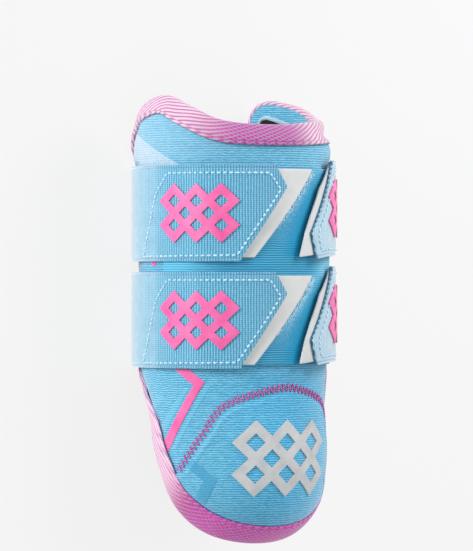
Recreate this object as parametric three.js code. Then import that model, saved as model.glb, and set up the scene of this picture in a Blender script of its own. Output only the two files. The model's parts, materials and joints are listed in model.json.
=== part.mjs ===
// Batter's elbow guard lying on its back: a padded shell bent round the arm, tape over its rim,
// two elastic straps that close at the front, and the tabs, patches and stripes on them.
// Patterns are drawn flat, in millimetres: turn runs round the girth from the front crest,
// positive to the right of someone who faces the guard, and rise runs along the arm from midway
// between the straps. They are then wrapped on the form. Lift is the height off the shell's face.
import * as THREE from 'three';

// Thicknesses and clearances
const GAP = 0.3;
const SHELL_THICK = 8;
const RIM_TUCK = 2.5;
const TAPE_THICK = 1;
const TAPE_FACE = 8.6;
const TAPE_INSIDE = 2;
const TAPE_GAP = 0.5;
const PAD_THICK = 3;
const PAD_LIP = 1;
const PAD_INSET = 8.4;
const PAD_BEVEL = 4;
const PAD_GAP = 0.9;
const PANEL_THICK = 1;
const PANEL_GAP = 0.4;
const PANEL_INSET = 9.6;
const TAB_THICK = 1;
const TAB_BLUNT = 1;
const STRAP_THICK = 1.6;
const STRAP_BLUNT = 1;
const PATCH_THICK = 0.8;
const STRIPE_THICK = 0.8;
const STRIPE_GAP = 0.45;

// Straps and what lies under them
const STRAP_WIDTH = 50.8;
const STRAP_SPACING = 56.4;
const TAB_HEIGHT = 46.8;
const LOOP_TOP = 52;
const LOOP_TURN = { left: -70, right: 83 };
const TAB_TURN = { left: -45, right: 59 };
const RAMP = 10;
const RAMP_CLEAR = 1;

// The wings curl in a little towards their ends
const WING_CURL = { from: 86, to: 102, depth: 1.5 };

// Back of the straps: they leave the round form and run flat between two bends
const GIRTH_RADIUS = 51.5;
const BACK_DROP = 34.3;
const BEND_RADIUS = 7.7;

// Form of the shell's outer face, level by level: the front crest's distance from the arm axis,
// the bend of the arc behind it, and how far the level drifts to the right
const FORM = [
  { rise: -154, crest: 20.5, radius: 27, drift: 0 },
  { rise: -147.8, crest: 29, radius: 34, drift: 0 },
  { rise: -141.4, crest: 36, radius: 40, drift: 0 },
  { rise: -134.9, crest: 41, radius: 43.6, drift: 0 },
  { rise: -128.5, crest: 44.8, radius: 46.3, drift: 0 },
  { rise: -122, crest: 47.5, radius: 48.2, drift: 0 },
  { rise: -114, crest: 49, radius: 49, drift: 0 },
  { rise: -100, crest: 49.7, radius: 49.7, drift: 0 },
  { rise: -70.7, crest: 50.2, radius: 50.2, drift: 0 },
  { rise: -54, crest: GIRTH_RADIUS, radius: GIRTH_RADIUS, drift: 0 },
  { rise: 57, crest: GIRTH_RADIUS, radius: GIRTH_RADIUS, drift: 0 },
  { rise: 66, crest: 52.9, radius: 52.9, drift: -1.2 },
  { rise: 90, crest: 53.2, radius: 53.2, drift: -2.6 },
];

// Finished lower edge, alike on both sides, from a wing's lower corner to the tongue's tip
const LOWER_RIM = [
  { turn: 112.6, rise: -58.4 },
  { turn: 104.5, rise: -62 },
  { turn: 96.8, rise: -66.3 },
  { turn: 88.4, rise: -74.8 },
  { turn: 84.9, rise: -83.4 },
  { turn: 83.4, rise: -92 },
  { turn: 80, rise: -100.6 },
  { turn: 75.3, rise: -109.1 },
  { turn: 70.3, rise: -117.7 },
  { turn: 62.7, rise: -126.3 },
  { turn: 50.2, rise: -134.9 },
  { turn: 35.4, rise: -141.4 },
  { turn: 18.4, rise: -145.4 },
  { turn: 0, rise: -146.8 },
];
const RIGHT_RIM = [
  { turn: 115.4, rise: -45 },
  { turn: 115.4, rise: 0 },
  { turn: 116, rise: 48 },
  { turn: 120, rise: 65 },
];
const UPPER_RIM = [
  { turn: 121.5, rise: 79 },
  { turn: 117, rise: 87 },
  { turn: 108, rise: 90.2 },
  { turn: 98.6, rise: 88.8 },
  { turn: 82.5, rise: 83 },
  { turn: 60, rise: 78.8 },
  { turn: 23, rise: 76.2 },
  { turn: 0, rise: 74.6 },
  { turn: -24, rise: 75.1 },
  { turn: -39, rise: 77.7 },
  { turn: -54.7, rise: 84.7 },
  { turn: -70, rise: 90.3 },
  { turn: -89.4, rise: 85.8 },
  { turn: -101, rise: 79.5 },
  { turn: -110, rise: 70 },
];
const LEFT_RIM = [
  { turn: -115, rise: 50 },
  { turn: -115.4, rise: 0 },
  { turn: -115.4, rise: -45 },
];

// Pointed strap ends and slanted tab ends, with rise from the strap's own middle
const STRAP_END = {
  left: { shoulder: -9, tip: { turn: -2.5, rise: 13.8 }, heel: -27.2 },
  right: { shoulder: 15.6, tip: { turn: 11.9, rise: -11.7 }, heel: 33.6 },
};
const TAB_EDGE = {
  left: [
    { turn: 15.5, rise: TAB_HEIGHT / 2 - TAB_BLUNT },
    { turn: -19.5, rise: -TAB_HEIGHT / 2 },
  ],
  right: [
    { turn: 5.2, rise: -TAB_HEIGHT / 2 + TAB_BLUNT },
    { turn: 8.5, rise: -11 },
    { turn: 12.1, rise: -2.8 },
    { turn: 19.9, rise: 11.4 },
    { turn: 32.8, rise: TAB_HEIGHT / 2 },
  ],
};

// Seam along the top of the elbow panel, alike on both sides, from its middle outwards
const PANEL_SEAM = [
  { turn: 0, rise: -63.8 },
  { turn: 13, rise: -65.3 },
  { turn: 26, rise: -69 },
  { turn: 34, rise: -73 },
  { turn: 39, rise: -77.8 },
  { turn: 43, rise: -84.9 },
  { turn: 48.9, rise: -92.9 },
  { turn: 57.4, rise: -105.5 },
];
const PANEL_CORNER = 70.3;

// Edges of the bent stripe beside the elbow panel, on the right
const STRIPE = [
  { near: { turn: 54.5, rise: -54.4 }, far: { turn: 63.3, rise: -54.4 } },
  { near: { turn: 45.1, rise: -60.8 }, far: { turn: 51.3, rise: -62.6 } },
  { near: { turn: 64.7, rise: -94.7 }, far: { turn: 67.8, rise: -89.4 } },
];

// Lattice patches: bars run slantwise between knots set on a chequer
const STRAP_PATCH = { columns: 7, rows: 5, stepTurn: 6.2, stepRise: 6.4, knot: 2.8 };
const ELBOW_PATCH = { columns: 7, rows: 5, stepTurn: 8.8, stepRise: 8.4, knot: 3.6 };
const PATCH_TURN = { left: -48.5, right: 46 };
const ELBOW_PATCH_PLACE = { turn: 0, rise: -101 };

// Mesh density
const SHELL_MESH = { along: 32, across: 26 };
const PAD_MESH = { along: 22, across: 12 };
const PANEL_MESH = { along: 20, across: 12 };
const STRIPE_PIECES = 4;
const MERGE = 1e-4;
const STEP = 7;

const finish = (color, roughness) => new THREE.MeshStandardMaterial({ color, roughness, metalness: 0 });
const FINISH = {
  body: finish(0x66b0d0, 0.85),
  tape: finish(0xd69cc6, 0.8),
  lining: finish(0x15161a, 0.95),
  loop: finish(0x4598be, 0.9),
  strap: finish(0x86b9d6, 0.8),
  tab: finish(0xe0e0e2, 0.5),
  pink: finish(0xf976b9, 0.45),
  grey: finish(0xc0c6c6, 0.4),
};

const lerp = THREE.MathUtils.lerp;
const flat = (turn, rise) => ({ turn, rise });
const mix = (from, to, t) => flat(lerp(from.turn, to.turn, t), lerp(from.rise, to.rise, t));
const mirrored = (places) => places.map((place) => flat(-place.turn, place.rise));

// Shape-keeping cubic through one column of the form table
function formValue(rise, column) {
  const slope = (row) => {
    const before = FORM[row - 1];
    const after = FORM[row + 1];
    if (!before || !after) return 0;
    const here = FORM[row];
    const into = (here[column] - before[column]) / (here.rise - before.rise);
    const out = (after[column] - here[column]) / (after.rise - here.rise);
    return into * out <= 0 ? 0 : (2 * into * out) / (into + out);
  };
  const level = THREE.MathUtils.clamp(rise, FORM[0].rise, FORM.at(-1).rise);
  const row = Math.max(0, FORM.findLastIndex((entry, i) => entry.rise <= level && i < FORM.length - 1));
  const span = FORM[row + 1].rise - FORM[row].rise;
  const t = (level - FORM[row].rise) / span;
  const ease = t * t * (3 - 2 * t);
  const bow = t * (1 - t) * span * ((1 - t) * slope(row) - t * slope(row + 1));
  return lerp(FORM[row][column], FORM[row + 1][column], ease) + bow;
}

// Flat place and lift to a point on the form, with the arm axis along Y and the front up
function wrap(turn, rise, lift) {
  const crest = formValue(rise, 'crest');
  const radius = formValue(rise, 'radius');
  const curl = WING_CURL.depth * THREE.MathUtils.smoothstep(Math.abs(turn), WING_CURL.from, WING_CURL.to);
  const angle = turn / radius;
  const reach = radius + lift - curl;
  const across = formValue(rise, 'drift') + reach * Math.sin(angle);
  return new THREE.Vector3(across, rise, crest - radius + reach * Math.cos(angle));
}

// A strap follows the girth to the bend, turns through it and stops at the flat back
const BEND = (() => {
  const up = -BACK_DROP + BEND_RADIUS;
  const out = Math.sqrt((GIRTH_RADIUS - BEND_RADIUS) ** 2 - up ** 2);
  const angle = Math.atan2(out, up);
  const start = GIRTH_RADIUS * angle;
  return { up, out, angle, start, end: start + BEND_RADIUS * (Math.PI - angle) };
})();

function wrapStrap(turn, rise, lift) {
  const side = Math.sign(turn);
  const along = Math.abs(turn);
  const past = along > BEND.start;
  const angle = past ? BEND.angle + (along - BEND.start) / BEND_RADIUS : along / GIRTH_RADIUS;
  const reach = lift + (past ? BEND_RADIUS : GIRTH_RADIUS);
  const out = reach * Math.sin(angle) + (past ? BEND.out : 0);
  const up = reach * Math.cos(angle) + (past ? BEND.up : 0);
  return new THREE.Vector3(side * out, rise, up);
}

// One closed mesh from four-sided faces, with shared corners merged and empty faces dropped
function solidMesh(name, material, quads) {
  const seen = new Map();
  const positions = [];
  const indexOf = (point) => {
    const key = point.toArray().map((value) => Math.round(value / MERGE)).join(' ');
    if (!seen.has(key)) {
      seen.set(key, positions.length / 3);
      positions.push(...point.toArray());
    }
    return seen.get(key);
  };
  const triangles = [];
  for (const quad of quads) {
    const [a, b, c, d] = quad.map(indexOf);
    for (const triangle of [[a, b, c], [a, c, d]]) {
      if (new Set(triangle).size === 3) triangles.push(triangle);
    }
  }
  const corner = (i) => new THREE.Vector3().fromArray(positions, 3 * i);
  const volume = triangles.reduce(
    (sum, [a, b, c]) => sum + corner(a).dot(corner(b).cross(corner(c))), 0);
  if (volume < 0) triangles.forEach((triangle) => triangle.reverse());
  const geometry = new THREE.BufferGeometry();
  geometry.setAttribute('position', new THREE.Float32BufferAttribute(positions, 3));
  geometry.setIndex(triangles.flat());
  geometry.computeVertexNormals();
  const mesh = new THREE.Mesh(geometry, material);
  mesh.name = name;
  return mesh;
}

// Faces of a sheet whose columns hold places with a top and a bottom lift
function slab(name, material, columns, place = wrap) {
  const points = columns.map((column) => column.map(({ turn, rise, top, bottom }) => (
    { top: place(turn, rise, top), bottom: place(turn, rise, bottom) })));
  const quads = [];
  const wall = (from, to) => quads.push([from.top, from.bottom, to.bottom, to.top]);
  const last = points.length - 1;
  const end = points[0].length - 1;
  for (let i = 0; i < last; i += 1) {
    for (let j = 0; j < end; j += 1) {
      const ring = [points[i][j], points[i + 1][j], points[i + 1][j + 1], points[i][j + 1]];
      quads.push(ring.map((point) => point.top));
      quads.push(ring.map((point) => point.bottom).reverse());
    }
    wall(points[i][0], points[i + 1][0]);
    wall(points[i + 1][end], points[i][end]);
  }
  for (let j = 0; j < end; j += 1) {
    wall(points[0][j + 1], points[0][j]);
    wall(points[last][j], points[last][j + 1]);
  }
  return solidMesh(name, material, quads);
}

// The rim as one closed curve that starts at the left wing's lower corner
const RIM_SIDES = (() => {
  const lower = [...mirrored(LOWER_RIM), ...LOWER_RIM.slice(0, -1).reverse()];
  const upper = UPPER_RIM;
  const places = [...lower, ...RIGHT_RIM, ...upper, ...LEFT_RIM];
  const starts = [0, lower.length - 1, lower.length + RIGHT_RIM.length];
  starts.push(starts[2] + upper.length - 1, places.length);
  const curve = new THREE.CatmullRomCurve3(
    places.map(({ turn, rise }) => new THREE.Vector3(turn, rise, 0)), true, 'centripetal');
  const perPlace = 40;
  const lengths = curve.getLengths(places.length * perPlace);
  const share = (index) => lengths[index * perPlace] / lengths.at(-1);
  return { curve, share, starts, places };
})();

// Places along the rim between two of its table rows; insets count from the shell's own edge,
// which lies inside the finished edge by the fold of the tape
const FOLD = TAPE_GAP + TAPE_THICK;

function rimStretch(from, to, count, inset) {
  const { curve, share } = RIM_SIDES;
  const depth = inset + FOLD;
  return Array.from({ length: count + 1 }, (_, i) => {
    const u = lerp(share(from), share(to), i / count) % 1;
    const point = curve.getPointAt(u);
    const heading = curve.getTangentAt(u);
    return flat(point.x - depth * heading.y, point.y + depth * heading.x);
  });
}

// The four sides of the rim at one inset, each from its first corner to its last
function rimSides(mesh, inset) {
  const counts = [mesh.along, mesh.across, mesh.along, mesh.across];
  return counts.map((count, side) => (
    rimStretch(RIM_SIDES.starts[side], RIM_SIDES.starts[side + 1], count, inset)));
}

const rimLoop = (mesh, inset) => rimSides(mesh, inset).flatMap((side) => side.slice(0, -1));

// Grid of places inside four sides, each place blended from the sides it lies between
function fillSides([bottom, right, top, left]) {
  const along = bottom.length - 1;
  const across = right.length - 1;
  const upper = [...top].reverse();
  const leftUp = [...left].reverse();
  return bottom.map((low, i) => right.map((east, j) => {
    const u = i / along;
    const v = j / across;
    const blend = (axis) => lerp(low[axis], upper[i][axis], v) + lerp(leftUp[j][axis], east[axis], u)
      - lerp(lerp(bottom[0][axis], bottom[along][axis], u), lerp(upper[0][axis], upper[along][axis], u), v);
    return flat(blend('turn'), blend('rise'));
  }));
}

// A sheet shaped by the rim: bands between successive insets, and a grid inside the last band
function rimmedSheet(name, material, mesh, bands) {
  const rings = bands.map(({ inset, top, bottom }) => rimLoop(mesh, inset).map(({ turn, rise }) => (
    { top: wrap(turn, rise, top), bottom: wrap(turn, rise, bottom) })));
  const quads = [];
  const faces = (ring) => {
    quads.push(ring.map((point) => point.top));
    quads.push(ring.map((point) => point.bottom).reverse());
  };
  const count = rings[0].length;
  for (let k = 0; k < count; k += 1) {
    const next = (k + 1) % count;
    for (let band = 0; band + 1 < rings.length; band += 1) {
      faces([rings[band][k], rings[band][next], rings[band + 1][next], rings[band + 1][k]]);
    }
    quads.push([rings[0][k].top, rings[0][k].bottom, rings[0][next].bottom, rings[0][next].top]);
  }
  const inner = bands.at(-1);
  const grid = fillSides(rimSides(mesh, inner.inset)).map((column) => column.map(({ turn, rise }) => (
    { top: wrap(turn, rise, inner.top), bottom: wrap(turn, rise, inner.bottom) })));
  for (let i = 0; i < mesh.along; i += 1) {
    for (let j = 0; j < mesh.across; j += 1) {
      faces([grid[i][j], grid[i + 1][j], grid[i + 1][j + 1], grid[i][j + 1]]);
    }
  }
  return solidMesh(name, material, quads);
}

// The padding thins from both faces towards the rim
const SHELL_BANDS = [
  { inset: 0, top: -RIM_TUCK, bottom: -SHELL_THICK + RIM_TUCK },
  { inset: TAPE_FACE, top: 0, bottom: -SHELL_THICK },
];

function makeShell() {
  return rimmedSheet('shell', FINISH.body, SHELL_MESH, SHELL_BANDS);
}

function makeInnerPad() {
  const top = -SHELL_THICK - PAD_GAP;
  return rimmedSheet('inner_pad', FINISH.lining, PAD_MESH, [
    { inset: PAD_INSET, top, bottom: top - PAD_LIP },
    { inset: PAD_INSET + PAD_BEVEL, top, bottom: top - PAD_THICK },
  ]);
}

// Folded tape: a long leg on the outer face, a fold past the rim and a short leg inside
function makeBinding() {
  const [rim, full] = SHELL_BANDS;
  const insideBottom = lerp(rim.bottom, full.bottom, TAPE_INSIDE / full.inset);
  const section = [
    { inset: full.inset, lift: full.top + FOLD },
    { inset: 0, lift: rim.top + FOLD },
    { inset: -FOLD, lift: rim.top - TAPE_THICK / 2 },
    { inset: -FOLD, lift: rim.bottom + TAPE_THICK / 2 },
    { inset: 0, lift: rim.bottom - FOLD },
    { inset: TAPE_INSIDE, lift: insideBottom - FOLD },
    { inset: TAPE_INSIDE, lift: insideBottom - TAPE_GAP },
    { inset: -TAPE_GAP, lift: rim.bottom - TAPE_GAP },
    { inset: -TAPE_GAP, lift: rim.top + TAPE_GAP },
    { inset: full.inset, lift: full.top + TAPE_GAP },
  ];
  const rails = section.map(({ inset, lift }) => (
    rimLoop(SHELL_MESH, inset).map(({ turn, rise }) => wrap(turn, rise, lift))));
  const quads = [];
  rails.forEach((rail, s) => {
    const beside = rails[(s + 1) % rails.length];
    rail.forEach((point, k) => {
      const next = (k + 1) % rail.length;
      quads.push([point, rail[next], beside[next], beside[k]]);
    });
  });
  return solidMesh('edge_binding', FINISH.tape, quads);
}

// Turns from one value to another in even steps
function steps(from, to, size = STEP) {
  const count = Math.max(1, Math.ceil(Math.abs(to - from) / size));
  return Array.from({ length: count + 1 }, (_, i) => lerp(from, to, i / count));
}

const LOOP_LIFT = { bottom: GAP, top: GAP + PANEL_THICK };
const TAB_LIFT = { bottom: LOOP_LIFT.top + GAP, top: LOOP_LIFT.top + GAP + TAB_THICK };

// Underside of a strap: on the shell, then over the loop panel, then over a tab
function strapLift(turn) {
  const side = turn < 0 ? 'left' : 'right';
  const past = (edge) => {
    const inward = Math.abs(edge[side]) + RAMP_CLEAR + RAMP - Math.abs(turn);
    return THREE.MathUtils.smoothstep(inward / RAMP, 0, 1);
  };
  return GAP + past(LOOP_TURN) * (PANEL_THICK + GAP) + past(TAB_TURN) * (TAB_THICK + GAP);
}

// Lowest and highest rise across a strap at a turn near one of its pointed ends
function strapReach(turn, end) {
  const { shoulder, tip, heel } = end;
  const half = STRAP_WIDTH / 2;
  const sign = Math.sign(tip.rise);
  const blunt = (sign * STRAP_BLUNT) / 2;
  const past = (corner) => THREE.MathUtils.clamp((turn - corner) / (tip.turn - corner), 0, 1);
  const near = lerp(sign * half, tip.rise + blunt, past(shoulder));
  const far = lerp(-sign * half, tip.rise - blunt, past(heel));
  return [Math.min(near, far), Math.max(near, far)];
}

function makeStrap(name, middle) {
  const column = (end) => (turn) => {
    const bottom = strapLift(turn);
    return strapReach(turn, end).map((rise) => (
      { turn, rise: middle + rise, bottom, top: bottom + STRAP_THICK }));
  };
  const bendStep = BEND_RADIUS / 4;
  const half = (end, side) => [
    ...steps(end.tip.turn, end.shoulder).slice(0, -1),
    ...steps(end.shoulder, end.heel).slice(0, -1),
    ...steps(end.heel, side * BEND.start).slice(0, -1),
    ...steps(side * BEND.start, side * BEND.end, bendStep),
  ].map(column(end));
  const columns = [...half(STRAP_END.left, -1), ...half(STRAP_END.right, 1).reverse()];
  return slab(name, FINISH.strap, columns, wrapStrap);
}

function makeLoopPanel() {
  const columns = steps(LOOP_TURN.left, LOOP_TURN.right).map((turn) => (
    [-LOOP_TOP, LOOP_TOP].map((rise) => ({ turn, rise, ...LOOP_LIFT }))));
  return slab('loop_panel', FINISH.loop, columns);
}

// A tab runs from the blunt point of its slanted edge to its hidden straight one
function makeTab(name, middle, side) {
  const edge = TAB_EDGE[side];
  const level = (Math.sign(edge[0].rise) * TAB_HEIGHT) / 2;
  const column = ({ turn, rise }) => [rise, level].sort((low, high) => low - high)
    .map((height) => ({ turn, rise: middle + height, ...TAB_LIFT }));
  const places = [...edge, flat(TAB_TURN[side], -level)];
  const columns = places.slice(1).flatMap((to, i) => {
    const from = places[i];
    return steps(from.turn, to.turn).slice(i ? 1 : 0).map((turn) => (
      column(mix(from, to, (turn - from.turn) / (to.turn - from.turn)))));
  });
  return slab(name, FINISH.tab, columns);
}

// Slanted bars between diamond knots on a chequer, wrapped at a lift that may follow the turn
function makeLattice(name, material, pattern, centre, lift) {
  const { columns, rows, stepTurn, stepRise, knot } = pattern;
  const place = (turn, rise, face) => wrap(turn, rise, lift(turn) + (face === 'top' ? PATCH_THICK : 0));
  const tilt = stepRise / stepTurn;
  const corners = [[0, 1], [1, 0], [0, -1], [-1, 0]];
  const isKnot = (i, j) => i >= 0 && j >= 0 && i < columns && j < rows && (i + j) % 2 === 1;
  const knotCorner = (i, j, corner) => {
    const [east, north] = corners[corner % 4];
    const turn = centre.turn + (i - (columns - 1) / 2) * stepTurn + east * knot;
    const rise = centre.rise + (j - (rows - 1) / 2) * stepRise + north * knot * tilt;
    return { top: place(turn, rise, 'top'), bottom: place(turn, rise, 'bottom') };
  };
  const quads = [];
  const faces = (ring) => {
    quads.push(ring.map((point) => point.top));
    quads.push(ring.map((point) => point.bottom).reverse());
  };
  const wall = (from, to) => quads.push([from.top, from.bottom, to.bottom, to.top]);
  const ways = [[1, 1], [1, -1], [-1, -1], [-1, 1]];
  for (let i = 0; i < columns; i += 1) {
    for (let j = 0; j < rows; j += 1) {
      if (!isKnot(i, j)) continue;
      faces([3, 2, 1, 0].map((corner) => knotCorner(i, j, corner)));
      ways.forEach(([east, north], way) => {
        const from = knotCorner(i, j, way);
        const to = knotCorner(i, j, way + 1);
        if (!isKnot(i + east, j + north)) wall(to, from);
        else if (east > 0) {
          const beyondFrom = knotCorner(i + east, j + north, way + 3);
          const beyondTo = knotCorner(i + east, j + north, way + 2);
          faces([from, to, beyondTo, beyondFrom]);
          wall(to, beyondTo);
          wall(beyondFrom, from);
        }
      });
    }
  }
  return solidMesh(name, material, quads);
}

// Elbow panel: from its arched seam down to the inner edge of the tape
const PANEL_LIFT = { bottom: PANEL_GAP, top: PANEL_GAP + PANEL_THICK };

function makeElbowPanel() {
  const { along, across } = PANEL_MESH;
  const seam = new THREE.CatmullRomCurve3(
    [...mirrored(PANEL_SEAM).reverse(), ...PANEL_SEAM.slice(1)]
      .map(({ turn, rise }) => new THREE.Vector3(turn, rise, 0)), false, 'centripetal');
  const corner = LOWER_RIM.findIndex(({ turn }) => turn === PANEL_CORNER);
  const lower = rimStretch(corner, 2 * (LOWER_RIM.length - 1) - corner, along, PANEL_INSET);
  const columns = lower.map((low, i) => {
    const high = seam.getPointAt(i / along);
    return Array.from({ length: across + 1 }, (_, j) => (
      { ...mix(low, flat(high.x, high.y), j / across), ...PANEL_LIFT }));
  });
  return slab('elbow_panel', FINISH.body, columns);
}

function makeStripe(name, side) {
  const lifts = { bottom: STRIPE_GAP, top: STRIPE_GAP + STRIPE_THICK };
  const columns = STRIPE.flatMap((row, i) => {
    if (i === 0) return [row];
    const before = STRIPE[i - 1];
    return Array.from({ length: STRIPE_PIECES }, (_, k) => {
      const t = (k + 1) / STRIPE_PIECES;
      return { near: mix(before.near, row.near, t), far: mix(before.far, row.far, t) };
    });
  }).map(({ near, far }) => [near, far].map(({ turn, rise }) => ({ turn: side * turn, rise, ...lifts })));
  return slab(name, FINISH.pink, columns);
}

// The guard about its arm axis
const guard = new THREE.Group();
guard.add(makeShell(), makeBinding(), makeInnerPad(), makeLoopPanel(), makeElbowPanel());
for (const [level, sign] of [['upper', 1], ['lower', -1]]) {
  const middle = (sign * STRAP_SPACING) / 2;
  guard.add(makeStrap(`${level}_strap`, middle));
  for (const side of ['left', 'right']) {
    guard.add(makeTab(`${level}_${side}_tab`, middle, side));
    const centre = flat(PATCH_TURN[side], middle);
    const onStrap = (turn) => strapLift(turn) + STRAP_THICK + GAP;
    guard.add(makeLattice(`${level}_${side}_patch`, FINISH.pink, STRAP_PATCH, centre, onStrap));
  }
}
const onPanel = () => PANEL_LIFT.top + GAP;
guard.add(makeLattice('elbow_patch', FINISH.grey, ELBOW_PATCH, ELBOW_PATCH_PLACE, onPanel));
guard.add(makeStripe('left_chevron', -1), makeStripe('right_chevron', 1));

// Stood on the flat backs of the straps, with the origin under the middle of its outline
const outline = new THREE.Box3().setFromObject(guard);
const middle = outline.getCenter(new THREE.Vector3());
guard.position.set(-middle.x, -middle.y, -outline.min.z);

const part = new THREE.Group();
part.add(guard);

export default part;
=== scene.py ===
# Batter's elbow guard: its cloth, tape, straps and trim, cut flat as patterns and wrapped on the form
import json
import math

import bpy
import numpy as np
from mathutils import Matrix, Vector
from mathutils.bvhtree import BVHTree


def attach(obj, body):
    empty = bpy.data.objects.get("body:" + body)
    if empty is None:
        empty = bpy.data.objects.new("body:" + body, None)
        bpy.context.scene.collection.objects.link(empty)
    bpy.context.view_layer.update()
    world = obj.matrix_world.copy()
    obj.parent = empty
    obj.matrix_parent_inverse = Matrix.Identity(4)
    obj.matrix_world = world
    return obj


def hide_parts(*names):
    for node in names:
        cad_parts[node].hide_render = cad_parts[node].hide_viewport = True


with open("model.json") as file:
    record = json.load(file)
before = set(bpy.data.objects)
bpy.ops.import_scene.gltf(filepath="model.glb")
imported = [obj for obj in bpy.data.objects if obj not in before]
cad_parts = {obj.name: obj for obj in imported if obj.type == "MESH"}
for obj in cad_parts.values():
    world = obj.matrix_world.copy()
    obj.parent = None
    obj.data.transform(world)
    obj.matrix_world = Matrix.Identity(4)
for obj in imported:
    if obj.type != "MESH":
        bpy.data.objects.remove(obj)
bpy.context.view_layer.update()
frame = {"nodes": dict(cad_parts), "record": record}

# Patterns are in millimetres: turn runs round the girth from the front crest, rise along the arm
# from midway between the straps, and lift is the height off the shell's face
MM = 0.001
RIM_TUCK = 2.5
TAPE_FACE = 8.6
TAPE_FOLD = 1.5
PAD_INSET = 8.4
PAD_LIFT = -8.9
GIRTH_RADIUS = 51.5
STRAP_THICK = 1.6
STRAP_GAP = 0.3
STRAP_WIDTH = 50.8
TAB_HEIGHT = 46.8
LOOP_TOP = 52.0
LOOP_TURN = (-70.0, 83.0)
TAB_TURN = (-45.0, 59.0)
RAMP = 10.0
RAMP_CLEAR = 1.0
SHEET_THICK = 1.0
TAPE_THICK = 0.5
LOOP_THICK = 0.8
PANEL_THICK = 0.4
HOOK_THICK = 0.5
PANEL_TOP = 1.4

# The wings curl in a little towards their ends
CURL_FROM = 86.0
CURL_TO = 102.0
CURL_DEPTH = 1.5

# How far sewing and padding push the form out at each rise: beside the right strap ends, where the
# tape draws the upper edge in, and along the left wing above its strap
RIGHT_SEWN = [
    (53.6, 0), (57.5, 1.6), (62, 1.9), (66, 0.8), (68.2, -1.8), (70.2, -3.4), (72.5, -2.6), (74.5, -1.4),
    (78.8, 0),
]
RIGHT_SEWN_AT = (50.0, 26.0)
LEFT_SEWN = [(53.4, 0), (54.4, 2.2), (57, 3.2), (62, 2.8), (68, 1.6), (75, 0.4), (80, 0)]
LEFT_SEWN_AT = (-107.5, 8.5)

# How far the right wing's edge is drawn up beside its peak
DRAWN_UP = 2.4
DRAWN_UP_AT = (84.0, 11.0)
DRAWN_UP_RISE = (62.0, 80.0)

# Straps leave the round form at two bends and run flat across the back
BACK_DROP = 34.3
BEND_RADIUS = 7.7
BEND_UP = BEND_RADIUS - BACK_DROP
BEND_OUT = math.sqrt((GIRTH_RADIUS - BEND_RADIUS) ** 2 - BEND_UP ** 2)
BEND_ANGLE = math.atan2(BEND_OUT, BEND_UP)
BEND_START = GIRTH_RADIUS * BEND_ANGLE
BEND_END = BEND_START + BEND_RADIUS * (math.pi - BEND_ANGLE)
STRAP_GIRTH = 2 * (BEND_END + BEND_OUT)

# The arm axis stands over the middles of the two flat strap backs
STRAP_BACKS = [Vector(mount["pos_m"]) / MM for mount in frame["record"]["mounts"]]
STRAP_RISE = abs(STRAP_BACKS[0].y - STRAP_BACKS[1].y) / 2
AXIS = np.array((STRAP_BACKS[0] + STRAP_BACKS[1]) / 2) + (0, 0, BACK_DROP + STRAP_GAP + STRAP_THICK)

# Form of the shell's face: rise, distance of the front crest from the axis, bend, sideways drift
FORM = np.array([
    (-154.0, 20.5, 27.0, 0.0),
    (-147.8, 29.0, 34.0, 0.0),
    (-141.4, 36.0, 40.0, 0.0),
    (-134.9, 41.0, 43.6, 0.0),
    (-128.5, 44.8, 46.3, 0.0),
    (-122.0, 47.5, 48.2, 0.0),
    (-114.0, 49.0, 49.0, 0.0),
    (-100.0, 49.7, 49.7, 0.0),
    (-70.7, 50.2, 50.2, 0.0),
    (-54.0, GIRTH_RADIUS, GIRTH_RADIUS, 0.0),
    (57.0, GIRTH_RADIUS, GIRTH_RADIUS, 0.0),
    (66.0, 52.9, 52.9, -1.2),
    (90.0, 53.2, 53.2, -2.6),
])

# Finished edge of the guard as (turn, rise), from the left wing's lower corner round to the right
LOWER_RIM = [
    (112.6, -58.4), (104.5, -62), (96.8, -66.3), (88.4, -74.8), (84.9, -83.4), (83.4, -92), (80, -100.6),
    (75.3, -109.1), (70.3, -117.7), (62.7, -126.3), (50.2, -134.9), (35.4, -141.4), (18.4, -145.4),
    (0, -146.8),
]
RIGHT_RIM = [(115.4, -45), (115.4, 0), (116, 48), (120, 65)]
UPPER_RIM = [
    (121.5, 79), (117, 87), (108, 90.2), (98.6, 88.8), (82.5, 83), (60, 78.8), (23, 76.2), (0, 74.6),
    (-24, 75.1), (-39, 77.7), (-54.7, 84.7), (-70, 90.3), (-89.4, 85.8), (-101, 79.5), (-110, 70),
]
LEFT_RIM = [(-115, 50), (-115.4, 0), (-115.4, -45)]
PANEL_CORNER = 8

# Seam along the top of the elbow panel, from the left to the middle
PANEL_SEAM = [
    (-57.4, -105.5), (-48.9, -92.9), (-43, -84.9), (-39, -77.8), (-34, -73), (-26, -69), (-13, -65.3),
    (0, -63.8),
]

# Strap and tab ends as (turn, rise from the strap's middle)
HALF = STRAP_WIDTH / 2
LEFT_END = [(-9, HALF), (-2.5, 13.8), (-27.2, -HALF)]
RIGHT_END = [(15.6, -HALF), (11.9, -11.7), (33.6, HALF)]
TAB_HALF = TAB_HEIGHT / 2
LEFT_TAB = [(15.5, TAB_HALF - 1), (-19.5, -TAB_HALF)]
RIGHT_TAB = [(5.2, 1 - TAB_HALF), (8.5, -11), (12.1, -2.8), (19.9, 11.4), (32.8, TAB_HALF)]


# Forms and places

def smooth(share):
    share = np.clip(share, 0, 1)
    return share * share * (3 - 2 * share)


def ease(value, start, end):
    """Eases from nothing at one value to full at another."""
    return smooth((value - start) / (end - start))


def form_slopes():
    step = np.diff(FORM, axis=0)
    grade = step[:, 1:] / step[:, :1]
    into, out = grade[:-1], grade[1:]
    total = np.where(into + out == 0, 1, into + out)
    inner = np.where(into * out > 0, 2 * into * out / total, 0)
    ends = np.zeros((1, 3))
    return np.vstack([ends, inner, ends])


FORM_SLOPES = form_slopes()


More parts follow.
